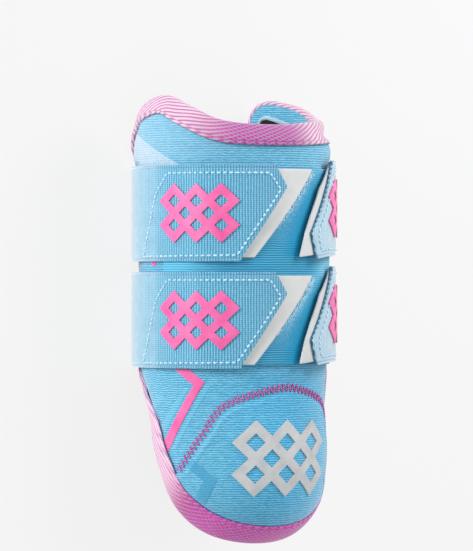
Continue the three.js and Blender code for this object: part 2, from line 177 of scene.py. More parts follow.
def form_at(rise):
    """Crest, bend and drift of the form at each rise, on a curve that keeps the table's shape."""
    level = np.clip(rise, FORM[0, 0], FORM[-1, 0])
    row = np.clip(np.searchsorted(FORM[:, 0], level, side="right") - 1, 0, len(FORM) - 2)
    span = (FORM[row + 1, 0] - FORM[row, 0])[:, None]
    t = (level - FORM[row, 0])[:, None] / span
    ease = t * t * (3 - 2 * t)
    bow = t * (1 - t) * span * ((1 - t) * FORM_SLOPES[row] - t * FORM_SLOPES[row + 1])
    return (FORM[row, 1:] + (FORM[row + 1, 1:] - FORM[row, 1:]) * ease + bow).T


def wing_curl(turn):
    return CURL_DEPTH * ease(np.abs(turn), CURL_FROM, CURL_TO)


def sewn(turn, rise):
    """How far the finished guard stands off the plain form."""
    push = 0
    for rows, (middle, width) in ((RIGHT_SEWN, RIGHT_SEWN_AT), (LEFT_SEWN, LEFT_SEWN_AT)):
        push = push + np.interp(rise, *np.array(rows).T) * np.exp(-((turn - middle) / width) ** 2)
    return push


def drawn_up(turn, rise):
    at, width = DRAWN_UP_AT
    return DRAWN_UP * np.exp(-((turn - at) / width) ** 2) * ease(rise, *DRAWN_UP_RISE)


def wrap(flat):
    """Flat places (turn, rise, lift) to points on the guard, in metres."""
    turn, rise, lift = np.asarray(flat, float).T
    crest, bend, drift = form_at(rise)
    reach = bend + lift - wing_curl(turn) + sewn(turn, rise)
    angle = turn / bend
    high = rise + drawn_up(turn, rise)
    points = np.stack([drift + reach * np.sin(angle), high, crest - bend + reach * np.cos(angle)], axis=-1)
    return (points + AXIS) * MM


def unwrap(points):
    """Points on the guard back to flat places."""
    across, rise, up = (np.asarray(points, float) / MM - AXIS).T
    crest, bend, drift = form_at(rise)
    up = up - crest + bend
    turn = bend * np.arctan2(across - drift, up)
    lift = np.hypot(across - drift, up) - bend + wing_curl(turn)
    return np.stack([turn, rise, lift], axis=-1)


def signed_turn(run):
    """A strap's run goes on from the right side round the back to the left, where turn is negative."""
    return np.where(run > STRAP_GIRTH / 2, run - STRAP_GIRTH, run)


def wrap_strap(flat):
    """Places (run, rise, lift) on a strap, which is round in front and flat across the back."""
    run, rise, lift = np.asarray(flat, float).T
    turn = signed_turn(run)
    side, along = np.sign(turn), np.abs(turn)
    round_angle = along / GIRTH_RADIUS
    bend_angle = BEND_ANGLE + (along - BEND_START) / BEND_RADIUS
    on_bend, on_back = along > BEND_START, along > BEND_END
    out = np.where(
        on_bend,
        BEND_OUT + (BEND_RADIUS + lift) * np.sin(np.minimum(bend_angle, math.pi)),
        (GIRTH_RADIUS + lift) * np.sin(round_angle))
    out = np.where(on_back, BEND_OUT - (along - BEND_END), out)
    up = np.where(
        on_bend,
        BEND_UP + (BEND_RADIUS + lift) * np.cos(np.minimum(bend_angle, math.pi)),
        (GIRTH_RADIUS + lift) * np.cos(round_angle))
    return (np.stack([side * out, rise, up], axis=-1) + AXIS) * MM


def strap_bed(turn):
    """Underside of a strap: on the shell, then over the loop panel, then over a tab."""
    side = (turn > 0).astype(int)

    def past(edges):
        edge = np.abs(np.array(edges))[side] + RAMP_CLEAR
        return ease(np.abs(turn), edge + RAMP, edge)

    return STRAP_GAP + (past(LOOP_TURN) + past(TAB_TURN)) * (SHEET_THICK + STRAP_GAP)


STAND_OFF = 2.6
STAND_OFF_TURN = (54.0, 18.0)


def stand_off(turn):
    """The right-hand ends of the straps spring a little off the guard."""
    return STAND_OFF * ease(turn, *STAND_OFF_TURN) * (turn > 0)


SLANT = 3.0
SLANT_UP = (-2.0, 32.0)
SLANT_DOWN = (58.0, 88.0)


def strap_slant(turn):
    """The straps climb a little where they come round from the back on the right."""
    return SLANT * ease(turn, *SLANT_UP) * (1 - ease(turn, *SLANT_DOWN)) * (turn > 0)


def curve_through(places, closed):
    """Fine polyline through flat places, and how far along it each place lies."""
    places = np.array(places, float)
    per_place = 40
    if closed:
        before, after = np.roll(places, 1, axis=0), np.roll(places, -1, axis=0)
        last = np.roll(places, -2, axis=0)
        first = places
    else:
        ends = np.vstack([2 * places[0] - places[1], places, 2 * places[-1] - places[-2]])
        before, first, after, last = ends[:-3], ends[1:-2], ends[2:-1], ends[3:]
    gaps = [np.sqrt(np.linalg.norm(b - a, axis=1))[:, None] for a, b in
            ((before, first), (first, after), (after, last))]
    leave = ((first - before) / gaps[0] - (after - before) / (gaps[0] + gaps[1])
             + (after - first) / gaps[1]) * gaps[1]
    arrive = ((after - first) / gaps[1] - (last - first) / (gaps[1] + gaps[2])
              + (last - after) / gaps[2]) * gaps[1]
    t = np.linspace(0, 1, per_place, endpoint=False)[None, :, None]
    line = ((2 * t**3 - 3 * t**2 + 1) * first[:, None] + (t**3 - 2 * t**2 + t) * leave[:, None]
            + (3 * t**2 - 2 * t**3) * after[:, None] + (t**3 - t**2) * arrive[:, None])
    line = np.vstack([line.reshape(-1, 2), after[-1]])
    length = np.concatenate([[0], np.cumsum(np.linalg.norm(np.diff(line, axis=0), axis=1))])
    return line, length, length[::per_place]


def along_curve(line, length, distance):
    """Places and headings at distances along a polyline."""
    def at(ahead):
        return np.stack([np.interp(distance + ahead, length, line[:, i]) for i in (0, 1)], axis=-1)

    heading = at(0.5) - at(-0.5)
    return at(0), heading / np.linalg.norm(heading, axis=1)[:, None]


def distance_from(line, flat):
    """Distance of flat places from a fine polyline."""
    return np.linalg.norm(flat[:, None, :2] - line[None, ::4], axis=2).min(axis=1)


def mirrored(places):
    return [(-turn, rise) for turn, rise in places]


def both_sides(places):
    """Places that end in the middle, and on through their mirror image."""
    return places + mirrored(places)[-2::-1]


RIM = curve_through(both_sides(mirrored(LOWER_RIM)) + RIGHT_RIM + UPPER_RIM + LEFT_RIM, True)
RIM_LENGTH = RIM[1][-1]
SEAM = curve_through(both_sides(PANEL_SEAM), False)

# How far along the rim each of its places lies, and where its lower middle and its upper edge are
RUN = RIM[2]
LOWER_MIDDLE = len(LOWER_RIM) - 1
UPPER_START = 2 * LOWER_MIDDLE + 1 + len(RIGHT_RIM)


def rim_places(distance, inset):
    """Flat places at distances along the finished edge, moved inwards by an inset."""
    line = RIM[0]
    wide = np.vstack([line[-3:-1], line, line[1:3]])
    steps = np.linalg.norm(np.diff(wide, axis=0), axis=1)
    wide_length = np.concatenate([[0], np.cumsum(steps)]) - steps[:2].sum()
    place, heading = along_curve(wide, wide_length, np.mod(distance, RIM_LENGTH))
    inwards = np.stack([-heading[:, 1], heading[:, 0]], axis=-1)
    return place + inwards * np.asarray(inset)[..., None]


# Making and finishing pieces

def use(piece):
    bpy.ops.object.select_all(action="DESELECT")
    piece.select_set(True)
    bpy.context.view_layer.objects.active = piece


def work(piece, tool, **settings):
    """Uses a mesh tool on the whole of a piece."""
    use(piece)
    bpy.ops.object.mode_set(mode="EDIT")
    bpy.ops.mesh.select_all(action="SELECT")
    tool(**settings)
    bpy.ops.object.mode_set(mode="OBJECT")


def add(name, data):
    """A new object in the scene."""
    thing = bpy.data.objects.new(name, data)
    bpy.context.scene.collection.objects.link(thing)
    return thing


def corners(piece):
    found = np.empty(len(piece.data.vertices) * 3)
    piece.data.vertices.foreach_get("co", found)
    return found.reshape(-1, 3)


def move_corners(piece, places):
    piece.data.vertices.foreach_set("co", np.ascontiguousarray(places, dtype=float).ravel())
    piece.data.update()


def keep_pattern(piece, places):
    """Writes each corner's flat place to the piece's pattern coordinates."""
    layer = piece.data.uv_layers.get("flat") or piece.data.uv_layers.new(name="flat")
    corner = np.empty(len(piece.data.loops), dtype=int)
    piece.data.loops.foreach_get("vertex_index", corner)
    layer.data.foreach_set("uv", np.ascontiguousarray(places[corner, :2], dtype=float).ravel())
    piece.data.uv_layers.active = layer


def cut_cloth(name, across, along, columns, rows):
    """A fine flat grid of cloth between two turns and two rises."""
    bpy.ops.object.select_all(action="DESELECT")
    bpy.ops.mesh.primitive_grid_add(
        x_subdivisions=columns, y_subdivisions=rows, size=1, calc_uvs=False,
        location=((across[0] + across[1]) / 2, (along[0] + along[1]) / 2, 0),
        scale=(across[1] - across[0], along[1] - along[0], 1))
    piece = bpy.context.object
    piece.name = name
    piece.scale = (across[1] - across[0], along[1] - along[0], 1)
    bpy.ops.object.transform_apply(location=True, rotation=True, scale=True)
    return piece


def trim(piece, start, end, inside):
    """Cuts along a straight line and drops the side away from a place inside."""
    start, end, inside = (Vector((*place, 0)) for place in (start, end, inside))
    away = (end - start).cross(Vector((0, 0, 1)))
    if away.dot(inside - start) > 0:
        away.negate()
    work(piece, bpy.ops.mesh.bisect, plane_co=start, plane_no=away.normalized(), clear_outer=True)


def trim_along(piece, places, inside):
    for start, end in zip(places, places[1:]):
        trim(piece, start, end, inside)


def apply_modifiers(piece):
    use(piece)
    for modifier in list(piece.modifiers):
        bpy.ops.object.modifier_apply(modifier=modifier.name)


def round_edges(piece, width, angle):
    edge = piece.modifiers.new("edge", "BEVEL")
    edge.width = width
    edge.segments = 2
    edge.limit_method = "ANGLE"
    edge.angle_limit = math.radians(angle)


SAME_PLACE = 1e-6
SLIVER = 0.08


def merge_slivers(piece, reach):
    """Merges corners that lie closer than a reach, and drops the slivers that are left."""
    work(piece, bpy.ops.mesh.remove_doubles, threshold=reach)
    work(piece, bpy.ops.mesh.dissolve_degenerate, threshold=reach / 100)


def thicken(piece, thick, rounding, sliver=SLIVER):
    """Gives a sheet its thickness below its face, with rounded edges."""
    if rounding and sliver:
        merge_slivers(piece, sliver)
    wall = piece.modifiers.new("wall", "SOLIDIFY")
    wall.thickness = thick
    wall.offset = -1
    if rounding:
        round_edges(piece, rounding, 55)
    apply_modifiers(piece)
    if rounding and sliver:
        merge_slivers(piece, sliver / 100)


def copy_node(node, name):
    """A merged copy of a CAD node's mesh as a new piece."""
    piece = add(name, frame["nodes"][node].data.copy())
    work(piece, bpy.ops.mesh.remove_doubles, threshold=SAME_PLACE)
    return piece


def dress(piece, material, node=None):
    """Finish and ride of a piece that is in its place, hiding the CAD node it stands in for."""
    use(piece)
    bpy.ops.object.shade_smooth()
    piece.data.materials.clear()
    piece.data.materials.append(material)
    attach(piece, "root")
    if node:
        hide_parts(node)
    return piece


SEEK_FROM = 14.0
SEEK_TO = -6.0


def seat(flat, carriers):
    """Lift of the topmost face of some pieces at flat places."""
    dependencies = bpy.context.evaluated_depsgraph_get()
    trees = [BVHTree.FromObject(carrier, dependencies) for carrier in carriers]
    starts, ends = (wrap(np.column_stack([flat[:, :2], np.full(len(flat), lift)]))
                    for lift in (SEEK_FROM, SEEK_TO))
    lifts = np.zeros(len(flat))
    for i, (start, end) in enumerate(zip(starts, ends)):
        way = Vector(end - start)
        hits = [tree.ray_cast(Vector(start), way.normalized(), way.length)[3] for tree in trees]
        reached = [hit for hit in hits if hit is not None]
        lifts[i] = SEEK_FROM - min(reached) / MM if reached else 0
    return lifts


# Finishes

def srgb(red, green, blue):
    def linear(value):
        value /= 255
        return value / 12.92 if value <= 0.04045 else ((value + 0.055) / 1.055) ** 2.4
    return (linear(red), linear(green), linear(blue), 1.0)


class Finish:
    """A node material in the making: put() adds a node and wires or sets its inputs."""

    def __init__(self, name, roughness, sheen=0.0, sheen_roughness=0.4, specular=0.3, sheen_tint=None):
        self.material = bpy.data.materials.new(name)
        self.material.use_nodes = True
        self.tree = self.material.node_tree
        self.shader = self.tree.nodes["Principled BSDF"]
        self.shader.inputs["Roughness"].default_value = roughness
        self.shader.inputs["Specular IOR Level"].default_value = specular
        self.shader.inputs["Sheen Weight"].default_value = sheen
        self.shader.inputs["Sheen Roughness"].default_value = sheen_roughness
        if sheen_tint:
            self.shader.inputs["Sheen Tint"].default_value = sheen_tint

    def put(self, kind, settings=None, **inputs):
        node = self.tree.nodes.new("ShaderNode" + kind)
        for name, value in (settings or {}).items():
            setattr(node, name, value)
        for name, value in inputs.items():
            socket = node.inputs[int(name[1:])] if name[1:].isdigit() else node.inputs[name]
            if isinstance(value, bpy.types.NodeSocket):
                self.tree.links.new(value, socket)
            else:
                socket.default_value = value
        return node

    def math(self, operation, first, second=0.0):
        return self.put("Math", {"operation": operation}, _0=first, _1=second).outputs[0]

    def times(self, share, *others):
        for other in others:
            share = self.math("MULTIPLY", share, other)
        return share

    def total(self, *parts):
        """Sum of some patterns, each with its weight."""
        weighted = [self.math("MULTIPLY", pattern, weight) for pattern, weight in parts]
        share = weighted[0]
        for other in weighted[1:]:
            share = self.math("ADD", share, other)
        return share

    def between(self, share, first, second):
        return self.put("Mix", {"data_type": "FLOAT"}, _0=share, _2=first, _3=second).outputs[0]

    def place(self):
        return self.put("TexCoord").outputs["Object"]

    def flat(self):
        return self.put("UVMap", {"uv_map": "flat"}).outputs[0]

    def parts(self, flat):
        """Turn and rise of a flat place."""
        return self.put("SeparateXYZ", Vector=flat).outputs[:2]

    def turned(self, place, degrees):
        return self.stretch(place, (1, 1, 1), math.radians(degrees))

    def stretch(self, place, scale, turn=0.0):
        mapping = self.put("Mapping", Vector=place)
        mapping.inputs["Scale"].default_value = scale
        mapping.inputs["Rotation"].default_value = (0, 0, turn)
        return mapping.outputs[0]

    def noise(self, place, scale, detail=2.0, roughness=0.5):
        node = self.put("TexNoise", Vector=place, Scale=scale, Detail=detail, Roughness=roughness)
        return node.outputs[0]

    def bands(self, place, pitch, axis, distortion=0.0, detail_scale=1.0):
        """Soft bands of a pitch in the units of the place, square to an axis."""
        node = self.put("TexWave", {"wave_type": "BANDS", "bands_direction": axis}, Vector=place)
        node.inputs["Scale"].default_value = math.pi / 10 / pitch
        node.inputs["Distortion"].default_value = distortion
        node.inputs["Detail"].default_value = 2.0
        node.inputs["Detail Scale"].default_value = detail_scale
        return node.outputs["Fac"]

    def ramp(self, share, *stops):
        node = self.put("ValToRGB", Fac=share)
        elements = node.color_ramp.elements
        while len(elements) < len(stops):
            elements.new(0.5)
        for element, (position, color) in zip(elements, stops):
            element.position = position
            element.color = color
        return node.outputs[0]

    def mix(self, share, first, second, blend="MIX"):
        node = self.put("Mix", {"data_type": "RGBA", "blend_type": blend}, _0=share, _6=first, _7=second)
        return node.outputs[2]

    def step(self, value, start, end):
        """Smooth step from nothing at one value to full at another."""
        node = self.put("MapRange", {"interpolation_type": "SMOOTHSTEP"}, Value=value)
        for name, level in (("From Min", start), ("From Max", end), ("To Min", 0.0), ("To Max", 1.0)):
            node.inputs[name].default_value = level
        return node.outputs[0]

    def tone(self, color, place, scale, low, high):
        """Slow unevenness of a colour over the cloth."""
        level = self.put("MapRange", Value=self.noise(place, scale, 3.0))
        level.inputs["To Min"].default_value = low
        level.inputs["To Max"].default_value = high
        return self.mix(1.0, color, level.outputs[0], "MULTIPLY")

    def wear(self, color, height, strength, depth):
        """Sets the colour, and a bump from a height that stands for a depth in millimetres."""
        self.tree.links.new(color, self.shader.inputs["Base Color"])
        bump = self.put("Bump", Strength=strength, Distance=depth * MM, Height=height)
        self.tree.links.new(bump.outputs[0], self.shader.inputs["Normal"])
        return self.material


CORD_PITCH = 0.00122


def corded_knit():
    """Body cloth: fine cords across the arm, broken up by the knit."""
    f = Finish("corded_knit", 0.8, sheen=0.55, sheen_roughness=0.55, specular=0.15)
    place = f.place()
    turn, rise = f.parts(f.flat())
    cords = f.bands(place, CORD_PITCH, "Y", 2.2, 1.8)
    waves = f.bands(f.stretch(place, (2.4, 1, 2.4)), CORD_PITCH, "Y", 5.0, 0.5)
    behind = f.math("ADD", turn, f.times(rise, -0.578))
    waved = f.times(f.step(behind, -14.0, -19.0), f.step(rise, -52.0, -56.0))
    cords = f.between(waved, cords, waves)
    slubs = f.noise(f.stretch(place, (300, 800, 300)), 1.0, 3.0, 0.6)
    grain = f.noise(place, 1500, 2.0)
    color = f.ramp(
        f.total((cords, 0.42), (slubs, 0.34), (grain, 0.34)),
        (0.22, srgb(24, 108, 150)), (0.46, srgb(66, 158, 196)), (0.64, srgb(96, 178, 210)),
        (0.88, srgb(164, 216, 234)))
    # Painted highlight: the knit is paler on the upper left, above the strap, where the puffed cloth faces
    # the light
    painted_highlight = f.times(f.step(turn, 0.0, -80.0), f.step(rise, 46.0, 62.0), 0.24)
    color = f.mix(painted_highlight, color, srgb(180, 204, 220))
    # Painted shade: the tongue, save its left side, is deepened with less red, holding back the sheen the
    # lights put there
    cap = f.times(f.step(turn, -50.0, 0.0), f.step(rise, -45.0, -66.0))
    color = f.mix(cap, color, (0.6, 1.0, 1.1, 1.0), "MULTIPLY")
    # Painted shadow: a darker band just below the lower strap, where the strap shades the knit
    painted_strap_shadow = f.times(f.step(turn, -34.0, -18.0), f.step(rise, -74.0, -58.0), f.step(rise, 0.0, -30.0))
    color = f.mix(painted_strap_shadow, color, (0.86, 0.9, 0.92, 1.0), "MULTIPLY")
    color = f.tone(color, place, 22, 0.92, 1.06)
    return f.wear(color, f.total((cords, 0.8), (grain, 0.4)), strength=0.55, depth=0.3)


RIB_PITCH = 1.42
SELVAGE = 1.5


def ribbed_elastic():
    """Strap: ribs across its length, fine weft between them, and a line along each selvage."""
    f = Finish("ribbed_elastic", 0.75, sheen=1.0, sheen_roughness=0.6)
    flat = f.flat()
    run, across = f.parts(flat)
    ribs = f.bands(flat, RIB_PITCH, "X", 1.3, 0.7)
    weft = f.bands(flat, 1.08, "Y", 1.6, 0.9)
    grain = f.noise(f.stretch(flat, (1.5, 0.5, 1)), 1.0, 3.0, 0.65)
    color = f.ramp(
        f.total((ribs, 0.42), (weft, 0.16), (grain, 0.46)),
        (0.2, srgb(12, 100, 140)), (0.45, srgb(50, 144, 180)), (0.65, srgb(88, 174, 206)),
        (0.88, srgb(156, 210, 228)))
    # Painted highlight: the strap is paler towards its left silhouette and towards its right end, where the
    # light catches it
    painted_end_highlight = f.math("MAXIMUM", f.step(run, STRAP_GIRTH - 62, STRAP_GIRTH - 118), f.step(run, 54.0, 20.0))
    color = f.mix(f.times(painted_end_highlight, 0.5), color, srgb(196, 214, 224))
    tip = f.step(run, STRAP_GIRTH - 45, STRAP_GIRTH - 5)
    color = f.mix(tip, color, (0.75, 0.91, 0.955, 1.0), "MULTIPLY")
    inset = f.math("ABSOLUTE", f.math("SUBTRACT", f.math("ABSOLUTE", across), HALF - SELVAGE))
    color = f.mix(f.times(f.step(inset, 0.55, 0.2), 0.55), color, srgb(28, 116, 156))
    color = f.tone(color, flat, 0.03, 0.94, 1.05)
    return f.wear(color, f.total((ribs, 0.6), (weft, 0.25), (grain, 0.3)), strength=0.5, depth=0.3)


def twill_tape():
    """Edge tape: twill lines at a slant, crossed by a second slant along the top and underneath."""
    f = Finish("twill_tape", 0.7, sheen=0.35, sheen_roughness=0.5, specular=0.15)
    flat = f.flat()
    run = f.parts(flat)[0]

    def lower(start, end):
        return f.step(run, RUN[LOWER_MIDDLE + start], RUN[LOWER_MIDDLE + end])

    def upper(start, end):
        return f.step(run, RUN[UPPER_START + start], RUN[UPPER_START + end])

    lower_left = lower(-3, -6)
    under = f.times(lower(-4, -2), lower(7, 5))
    crossed = f.math("MAXIMUM", f.times(upper(4, 6), upper(10, 8)), f.times(under, 0.7))
    # Painted highlight: the tape is paler towards its left and right ends, where the light falls on it
    right_end = f.times(upper(7, 6), lower(3, 7))
    painted_pale_ends = f.math("MAXIMUM", right_end, f.math("MAXIMUM", upper(8, 10), lower_left))
    slanted = f.bands(f.turned(flat, 20), 1.85, "Y", 1.0, 0.8)
    level = f.bands(f.turned(flat, 7), 1.45, "Y", 1.0, 0.8)
    lines = f.between(lower_left, slanted, level)
    cross = f.bands(f.turned(flat, -28), 1.6, "Y", 1.0, 0.8)
    grain = f.noise(flat, 1.6, 3.0, 0.6)
    full = f.ramp(grain, (0.3, srgb(150, 36, 116)), (0.5, srgb(178, 58, 136)), (0.72, srgb(194, 100, 160)))
    gaps = f.times(under, f.step(f.noise(flat, 0.9, 3.0, 0.65), 0.56, 0.42))
    kept = f.math("SUBTRACT", 0.8, f.times(gaps, 0.6))
    full = f.mix(f.times(f.step(lines, 0.76, 0.98), kept), full, srgb(158, 152, 192))
    full = f.mix(f.times(f.step(cross, 0.76, 0.98), crossed, kept), full, srgb(154, 148, 188))
    full = f.mix(under, full, (1.4, 1.16, 1.45, 1.0), "MULTIPLY")
    share = f.total((lines, 0.8), (f.math("SUBTRACT", grain, 0.5), 0.3))
    # Colours of the painted highlight on the tape's ends, with a softer set on the lower left
    painted_pale_tape = f.ramp(
        share, (0.02, srgb(142, 122, 150)), (0.12, srgb(204, 128, 174)), (0.32, srgb(217, 165, 195)),
        (0.7, srgb(221, 194, 210)))
    soft = f.ramp(
        share, (0.02, srgb(184, 144, 180)), (0.14, srgb(212, 154, 190)), (0.34, srgb(222, 176, 203)),
        (0.7, srgb(227, 198, 216)))
    painted_pale_tape = f.mix(lower_left, painted_pale_tape, soft)
    color = f.tone(f.mix(painted_pale_ends, full, painted_pale_tape), flat, 0.05, 0.92, 1.05)
    return f.wear(color, f.total((lines, 0.7), (cross, 0.3)), strength=0.5, depth=0.3)


BLUE_GLOW = (0.25, 0.8, 1.0, 1.0)


def loop_pile():
    """Loop cloth: brushed where the straps close, pulled up by the left tabs, corded at its edges."""
    f = Finish("loop_pile", 0.9, sheen=0.5, sheen_roughness=0.5, specular=0.1, sheen_tint=BLUE_GLOW)
    place = f.place()
    turn, rise = f.parts(f.flat())
    from_strap = f.math("ABSOLUTE", f.math("SUBTRACT", f.math("ABSOLUTE", rise), STRAP_RISE))
    ragged = f.math("ADD", from_strap, f.times(f.noise(place, 160, 3.0), 6.0))
    brushed = f.step(ragged, 20.0, 15.0)
    cords = f.bands(place, CORD_PITCH, "Y", 1.6, 0.9)
    fuzz = f.noise(place, 1500, 4.0, 0.7)
    corded = f.ramp(cords, (0.1, srgb(30, 112, 154)), (0.8, srgb(82, 166, 200)))
    pile = f.ramp(fuzz, (0.3, srgb(44, 120, 160)), (0.7, srgb(90, 168, 202)))
    plain = f.ramp(cords, (0.1, srgb(58, 156, 196)), (0.8, srgb(122, 196, 222)))
    corded = f.mix(f.step(turn, -28.0, -62.0), corded, plain)
    # Painted light: the corded cloth is paler towards the right end, lightening the shade that the straps
    # cast there
    pale = f.ramp(cords, (0.1, srgb(112, 190, 222)), (0.8, srgb(176, 222, 238)))
    corded = f.mix(f.step(turn, 12.0, 44.0), corded, pale)
    color = f.tone(f.mix(brushed, corded, pile), place, 30, 0.92, 1.06)
    middle = f.times(f.math("SIGN", rise), STRAP_RISE)
    level = f.math("SUBTRACT", rise, middle)
    in_strap = f.step(f.math("ABSOLUTE", level), 25.0, 21.0)
    beside = f.math("SUBTRACT", turn, f.times(level, 0.764))
    beside = f.math("SUBTRACT", beside, f.times(f.step(middle, 1.0, -1.0), 2.5))
    pulled = f.times(f.step(beside, 7.0, -2.0), f.step(level, -16.0, 12.0))
    pulled = f.times(pulled, f.step(f.noise(place, 600, 3.0), 0.3, 0.6), in_strap, 0.75)
    color = f.mix(pulled, color, srgb(168, 212, 232))
    # Painted shadow: the cloth darkens towards the right tabs' edges, where they stand off it
    bowed = f.math("ADD", 0.6, f.times(level, 0.0095))
    tab_edge = f.math("ADD", 13.6, f.times(level, bowed))
    deep = f.times(f.step(f.math("SUBTRACT", tab_edge, turn), 12.0, 0.0), in_strap, 0.85)
    color = f.mix(deep, color, srgb(0, 134, 178))
    return f.wear(color, f.between(brushed, cords, fuzz), strength=0.35, depth=0.25)


def off_white_film():
    """Tabs: a smooth off-white film with faint mottling."""
    f = Finish("off_white_film", 0.45, specular=0.4)
    place = f.place()
    mottle = f.noise(place, 110, 3.0)
    grain = f.noise(place, 1800, 2.0)
    color = f.ramp(mottle, (0.3, srgb(196, 197, 197)), (0.75, srgb(205, 206, 205)))
    return f.wear(color, grain, strength=0.08, depth=0.2)


def satin_rubber(name, deep, full, pale):
    """Moulded rubber: satin, with a soft grain and a slight unevenness."""
    f = Finish(name, 0.42, sheen=0.1, specular=0.45)
    place = f.place()
    mottle = f.noise(place, 120, 3.0)
    grain = f.noise(place, 2400, 2.0)
    color = f.ramp(mottle, (0.25, deep), (0.5, full), (0.85, pale))
    return f.wear(color, grain, strength=0.12, depth=0.2)


def brushed_lining():
    """Lining: near-black brushed knit."""
    f = Finish("brushed_lining", 0.95, sheen=0.15)
    place = f.place()
    fuzz = f.noise(place, 1400, 4.0, 0.7)
    rows = f.bands(place, 0.0012, "Y", 3.0, 1.2)
    share = f.total((fuzz, 0.6), (rows, 0.4))
    color = f.ramp(share, (0.2, srgb(14, 14, 17)), (0.8, srgb(38, 38, 44)))
    return f.wear(color, share, strength=0.5, depth=0.4)


def sewing_thread(name, deep, pale):
    """Thread: two plies twisted together."""
    f = Finish(name, 0.5, sheen=0.3)
    place = f.place()
    plies = f.bands(f.turned(place, 35), 0.0007, "X", 0.5)
    color = f.ramp(plies, (0.15, deep), (0.7, pale))
    return f.wear(color, plies, strength=0.4, depth=0.2)


def pressed_film(name, deep, pale, sheen, corded):
    """Tonal film pressed on the knit: smooth, with the cords faint below it."""
    f = Finish(name, 0.6, sheen=sheen, sheen_roughness=0.6, specular=0.2)
    place = f.place()
    cords = f.bands(place, CORD_PITCH, "Y", 1.6, 0.9)
    speckle = f.noise(place, 900, 3.0)
    share = f.total((cords, corded), (speckle, 1 - corded))
    color = f.ramp(share, (0.25, deep), (0.8, pale))
    return f.wear(color, share, strength=0.12, depth=0.2)


KNIT = corded_knit()
ELASTIC = ribbed_elastic()
TAPE = twill_tape()
LOOP = loop_pile()
FILM = off_white_film()
PINK = satin_rubber("pink_rubber", srgb(219, 80, 148), srgb(228, 97, 160), srgb(234, 120, 173))
GREY = satin_rubber("grey_rubber", srgb(172, 176, 178), srgb(189, 191, 193), srgb(203, 204, 205))
LINING = brushed_lining()
BLUE_THREAD = sewing_thread("blue_thread", srgb(150, 206, 230), srgb(206, 232, 244))
PINK_THREAD = sewing_thread("pink_thread", srgb(116, 52, 122), srgb(212, 116, 182))
# Seam thread, dark enough that it also paints the shade in the groove at the tape's edge
SEAM_THREAD_AND_SHADE = sewing_thread("seam_thread_and_shade", srgb(22, 50, 86), srgb(48, 92, 132))
# Hook tape, dark so that where it shows past the strap's edge it paints that edge's shadow
HOOK_AND_EDGE_SHADE = sewing_thread("hook_tape_and_edge_shade", srgb(16, 92, 132), srgb(44, 128, 166))
DARK_FILM = pressed_film("dark_film", srgb(28, 132, 174), srgb(72, 166, 204), 0.6, 0.4)
CLEAR_FILM = pressed_film("clear_film", srgb(32, 146, 188), srgb(112, 194, 222), 0.8, 0.6)
PALE_FILM = pressed_film("pale_film", srgb(138, 173, 195), srgb(194, 212, 226), 0.4, 0.25)


# Padded pieces, filled by pressure

PUFF_FRAMES = 20


def puff(node, name, pressure, cap, held, voxel):
    """Fills a copy of a padded node with pressure, held where it is sewn, and smooths it."""
    piece = copy_node(node, name)
    skin = piece.modifiers.new("skin", "REMESH")
    skin.mode = "VOXEL"
    skin.voxel_size = voxel * MM
    apply_modifiers(piece)
    before = corners(piece)
    group = piece.vertex_groups.new(name="sewn")
    for corner, weight in enumerate(held(unwrap(before))):
        group.add([corner], float(weight), "REPLACE")
    cloth = piece.modifiers.new("fill", "CLOTH")
    cloth.settings.quality = 6
    cloth.settings.use_pressure = True
    cloth.settings.uniform_pressure_force = pressure
    cloth.settings.vertex_group_mass = "sewn"
    cloth.settings.effector_weights.gravity = 0
    cloth.settings.bending_stiffness = 2.0
    cloth.point_cache.frame_end = PUFF_FRAMES
    for step in range(1, PUFF_FRAMES + 1):
        bpy.context.scene.frame_set(step)
    apply_modifiers(piece)
    bpy.context.scene.frame_set(1)
    move = corners(piece) - before
    reach = np.linalg.norm(move, axis=1)[:, None]
    move_corners(piece, before + move * np.minimum(1, cap * MM / np.maximum(reach, 1e-9)))
    piece.vertex_groups.clear()
    fine = piece.modifiers.new("fine", "SUBSURF")
    fine.levels = 1
    fine.render_levels = 1
    apply_modifiers(piece)
    flat = unwrap(corners(piece))
    keep_pattern(piece, flat)
    move_corners(piece, wrap(flat))
    return piece


def shell_sewing(flat):
    """How firmly the shell is held: inside, under the tape and straps, and along the elbow seam."""
    turn, rise, lift = flat.T
    inside = ease(lift, -1.5, -3.5)
    tape_edge = TAPE_FACE + TAPE_FOLD
    taped = ease(distance_from(RIM[0], flat), tape_edge + 2, tape_edge)
    strap_edge = STRAP_RISE + HALF
    under_straps = ease(np.abs(rise), strap_edge + 1.5, strap_edge - 1)
    seamed = ease(distance_from(SEAM[0], flat), 4, 1)
    left_half = SEAM[0][SEAM[0][:, 0] < 0][::-1]
    seam_rise = np.interp(np.abs(turn), -left_half[:, 0], left_half[:, 1])
    below = ease(rise - seam_rise, 3, 0) * (np.abs(turn) < 60)
    return np.max([inside, taped, under_straps, seamed, below], axis=0)


def make_shell():
    piece = puff("shell", "padded_shell", pressure=5.0, cap=1.8, held=shell_sewing, voxel=4.0)
    return dress(piece, KNIT, "shell")


def pad_sewing(flat):
    """The pad is held at its edge and on the side that lies on the shell."""
    pad_edge = TAPE_FOLD + PAD_INSET
    edge = ease(distance_from(RIM[0], flat), pad_edge + 5, pad_edge + 2)
    glued = ease(flat[:, 2], PAD_LIFT - 1.2, PAD_LIFT - 0.6)
    return np.maximum(edge, glued)


def make_inner_pad():
    piece = puff("inner_pad", "lining_pad", pressure=3.0, cap=1.0, held=pad_sewing, voxel=2.0)
    return dress(piece, LINING, "inner_pad")


# Tape and piping round the rim

